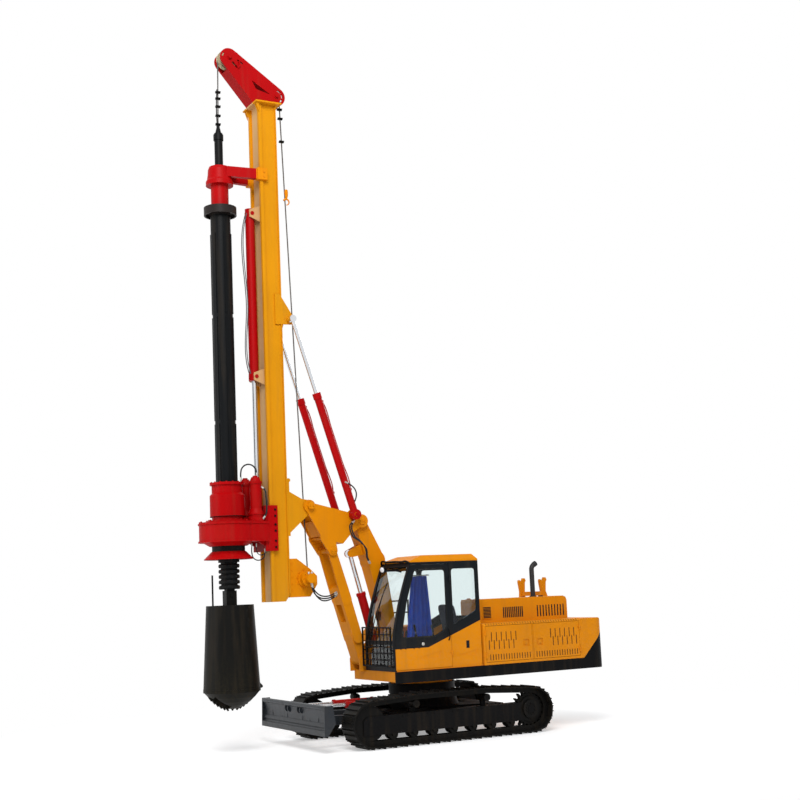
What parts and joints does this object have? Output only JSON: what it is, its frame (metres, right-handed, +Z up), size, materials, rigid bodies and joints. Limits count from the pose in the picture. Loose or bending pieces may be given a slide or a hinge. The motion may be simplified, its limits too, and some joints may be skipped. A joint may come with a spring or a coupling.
{
  "type": "rotary drilling rig",
  "caption": "Crawler rotary drilling rig: slewing upper frame with cab, parallelogram boom, tall mast with rope head, kelly bar in a rotary drive, drilling bucket and dozer blade.",
  "frame": {"origin": "on the slewing axis at the ground", "axes": "+X forward to the drill, +Y to the left (cab side), +Z up"},
  "size_m": [6.851, 2.55, 11.5512],
  "materials": {
    "amber_paint": "gloss enamel, lightly dusted",
    "crimson_paint": "gloss enamel",
    "slate_paint": "semi-gloss dark blue grey, rubbed on the kelly",
    "black_paint": "satin chassis black",
    "track_steel": "dark forged steel, rubbed bright on the treads",
    "blade_paint": "worn grey blue",
    "bucket_steel": "black, scraped by soil",
    "chrome": "hard chrome rods",
    "glass": "clear, lightly tinted",
    "seat_cover": "blue cover",
    "amber_casting": "gloss enamel on a casting",
    "grey_casting": "plain grey",
    "exhaust_steel": "dull, heat stained",
    "sheave_steel": "cream paint, worn in the groove"
  },
  "bodies": {
    "undercarriage": {"car_body": "black_paint", "track_frames": "black_paint", "track_left": "track_steel", "track_right": "track_steel", "sprockets": "track_steel", "rollers": "track_steel"},
    "blade": {"blade": "blade_paint"},
    "blade_barrels": {"blade_barrels": "crimson_paint"},
    "blade_rods": {"blade_rods": "chrome"},
    "upper": {"deck": "amber_paint", "skirt": "black_paint", "cab_base": "amber_paint", "cab_frame": "slate_paint", "cab_roof": "amber_paint", "cab_glass": "glass", "cab_seat": "seat_cover", "cab_guard": "black_paint", "hood": "amber_paint", "engine": "grey_casting", "counterweight": "amber_casting", "side_box": "amber_paint", "exhaust": "exhaust_steel", "mast_cradle": "amber_paint", "handrails": "black_paint"},
    "cab_door": {"cab_door": "slate_paint", "cab_door_skin": "amber_paint", "cab_door_glass": "glass"},
    "door_left_front": {"door_left_front": "amber_paint"},
    "door_left_rear": {"door_left_rear": "amber_paint"},
    "door_right_front": {"door_right_front": "amber_paint"},
    "door_right_rear": {"door_right_rear": "amber_paint"},
    "hood_lid": {"hood_lid": "amber_paint"},
    "rear_arm": {"rear_arm": "amber_paint"},
    "front_arm": {"front_arm": "amber_paint"},
    "luff_barrel": {"luff_barrel": "crimson_paint"},
    "luff_rod": {"luff_rod": "chrome"},
    "boom_head": {"boom_head": "amber_paint"},
    "mast_barrels": {"mast_barrels": "crimson_paint"},
    "mast_rods": {"mast_rods": "chrome"},
    "mast": {"mast": "amber_paint", "mast_head": "crimson_paint", "winch": "amber_paint", "crowd_barrel": "crimson_paint"},
    "front_sheave": {"front_sheave": "sheave_steel"},
    "rear_sheave": {"rear_sheave": "sheave_steel"},
    "rotary_drive": {"gear_case": "crimson_paint", "drive_motors": "crimson_paint", "crowd_rod": "chrome"},
    "kelly_guide": {"kelly_guide": "crimson_paint"},
    "kelly": {"kelly": "slate_paint", "bucket": "bucket_steel"},
    "bucket_door": {"bucket_door": "bucket_steel"}
  },
  "joints": [
    {"name": "slew", "type": "hinge", "parent": "undercarriage", "child": "upper", "pos_m": [0, 0, 0.98], "axis": [0, 0, 1], "continuous": true},
    {"name": "blade_lift", "type": "hinge", "parent": "undercarriage", "child": "blade", "pos_m": [1.13, 0, 0.413], "axis": [0, 1, 0], "range_deg": [-3, 12]},
    {"name": "blade_barrels_swing", "type": "hinge", "parent": "undercarriage", "child": "blade_barrels", "pos_m": [0.8, 0, 0.63], "axis": [0, 1, 0], "range_deg": [-4, 12]},
    {"name": "blade_rods_slide", "type": "slide", "parent": "blade_barrels", "child": "blade_rods", "axis": [1, 0, 0.0072], "range_m": [-0.012, 0.045]},
    {"name": "cab_door_hinge", "type": "hinge", "parent": "upper", "child": "cab_door", "pos_m": [0.089, 1.233, 0], "axis": [0, 0, 1], "range_deg": [0, 85]},
    {"name": "door_left_front_hinge", "type": "hinge", "parent": "upper", "child": "door_left_front", "pos_m": [-0.541, 1.263, 0], "axis": [0, 0, -1], "range_deg": [0, 85]},
    {"name": "door_left_rear_hinge", "type": "hinge", "parent": "upper", "child": "door_left_rear", "pos_m": [-2.429, 1.263, 0], "axis": [0, 0, 1], "range_deg": [0, 85]},
    {"name": "door_right_front_hinge", "type": "hinge", "parent": "upper", "child": "door_right_front", "pos_m": [-0.541, -1.263, 0], "axis": [0, 0, 1], "range_deg": [0, 85]},
    {"name": "door_right_rear_hinge", "type": "hinge", "parent": "upper", "child": "door_right_rear", "pos_m": [-2.429, -1.263, 0], "axis": [0, 0, -1], "range_deg": [0, 85]},
    {"name": "hood_lid_hinge", "type": "hinge", "parent": "upper", "child": "hood_lid", "pos_m": [-0.762, 0.55, 2.23], "axis": [0, 1, 0], "range_deg": [0, 60]},
    {"name": "luff", "type": "hinge", "parent": "upper", "child": "rear_arm", "pos_m": [0.6, 0, 1.8], "axis": [0, 1, 0], "range_deg": [-5, 30]},
    {"name": "front_arm_swing", "type": "hinge", "parent": "upper", "child": "front_arm", "pos_m": [1.15, 0, 1.32], "axis": [0, 1, 0], "range_deg": [-5, 30]},
    {"name": "boom_level", "type": "hinge", "parent": "rear_arm", "child": "boom_head", "pos_m": [1.12967, 0, 3.59967], "axis": [0, 1, 0], "range_deg": [-30, 5]},
    {"name": "luff_barrel_swing", "type": "hinge", "parent": "upper", "child": "luff_barrel", "pos_m": [0.8, 0, 1.35], "axis": [0, 1, 0], "range_deg": [-4.5, 25]},
    {"name": "luff_rod_slide", "type": "slide", "parent": "luff_barrel", "child": "luff_rod", "axis": [0.261, 0, 0.9653], "range_m": [-0.2, 0.034]},
    {"name": "mast_tilt", "type": "hinge", "parent": "boom_head", "child": "mast", "pos_m": [2.07467, 0, 3.85567], "axis": [0, 1, 0], "range_deg": [-90, 5]},
    {"name": "mast_barrels_swing", "type": "hinge", "parent": "boom_head", "child": "mast_barrels", "pos_m": [1.29967, 0, 3.69967], "axis": [0, 1, 0], "range_deg": [-98, 6]},
    {"name": "mast_rods_slide", "type": "slide", "parent": "mast_barrels", "child": "mast_rods", "axis": [0.3003, 0, 0.9538], "range_m": [-1.06, 0.06]},
    {"name": "front_sheave_spin", "type": "hinge", "parent": "mast", "child": "front_sheave", "pos_m": [3.236, 0, 11.385], "axis": [0, 1, 0], "continuous": true},
    {"name": "rear_sheave_spin", "type": "hinge", "parent": "mast", "child": "rear_sheave", "pos_m": [2.41, 0, 10.82], "axis": [0, 1, 0], "continuous": true},
    {"name": "crowd", "type": "slide", "parent": "mast", "child": "rotary_drive", "axis": [0, 0, 1], "range_m": [0, 1.4]},
    {"name": "kelly_hoist", "type": "slide", "parent": "mast", "child": "kelly_guide", "axis": [0, 0, 1], "range_m": [-0.6, 0]},
    {"name": "kelly_spin", "type": "hinge", "parent": "kelly_guide", "child": "kelly", "pos_m": [3.41, 0, 8.9], "axis": [0, 0, 1], "continuous": true},
    {"name": "bucket_door_hinge", "type": "hinge", "parent": "kelly", "child": "bucket_door", "pos_m": [2.931, 0, 1.02], "axis": [0, -1, 0], "range_deg": [-70, 0]}
  ],
  "couplings": [
    {"joint": "blade_barrels_swing", "follows": "blade_lift", "ratio": 0.7542},
    {"joint": "blade_rods_slide", "follows": "blade_lift", "m_per_rad": 0.1925},
    {"joint": "front_arm_swing", "follows": "luff", "ratio": 1},
    {"joint": "boom_level", "follows": "luff", "ratio": -1},
    {"joint": "luff_barrel_swing", "follows": "luff", "ratio": 0.8193},
    {"joint": "luff_rod_slide", "follows": "luff", "m_per_rad": -0.3808},
    {"joint": "mast_barrels_swing", "follows": "mast_tilt", "ratio": 1.0847},
    {"joint": "mast_rods_slide", "follows": "mast_tilt", "m_per_rad": 0.6705},
    {"joint": "rear_sheave_spin", "follows": "front_sheave_spin", "ratio": 1.2692}
  ]
}
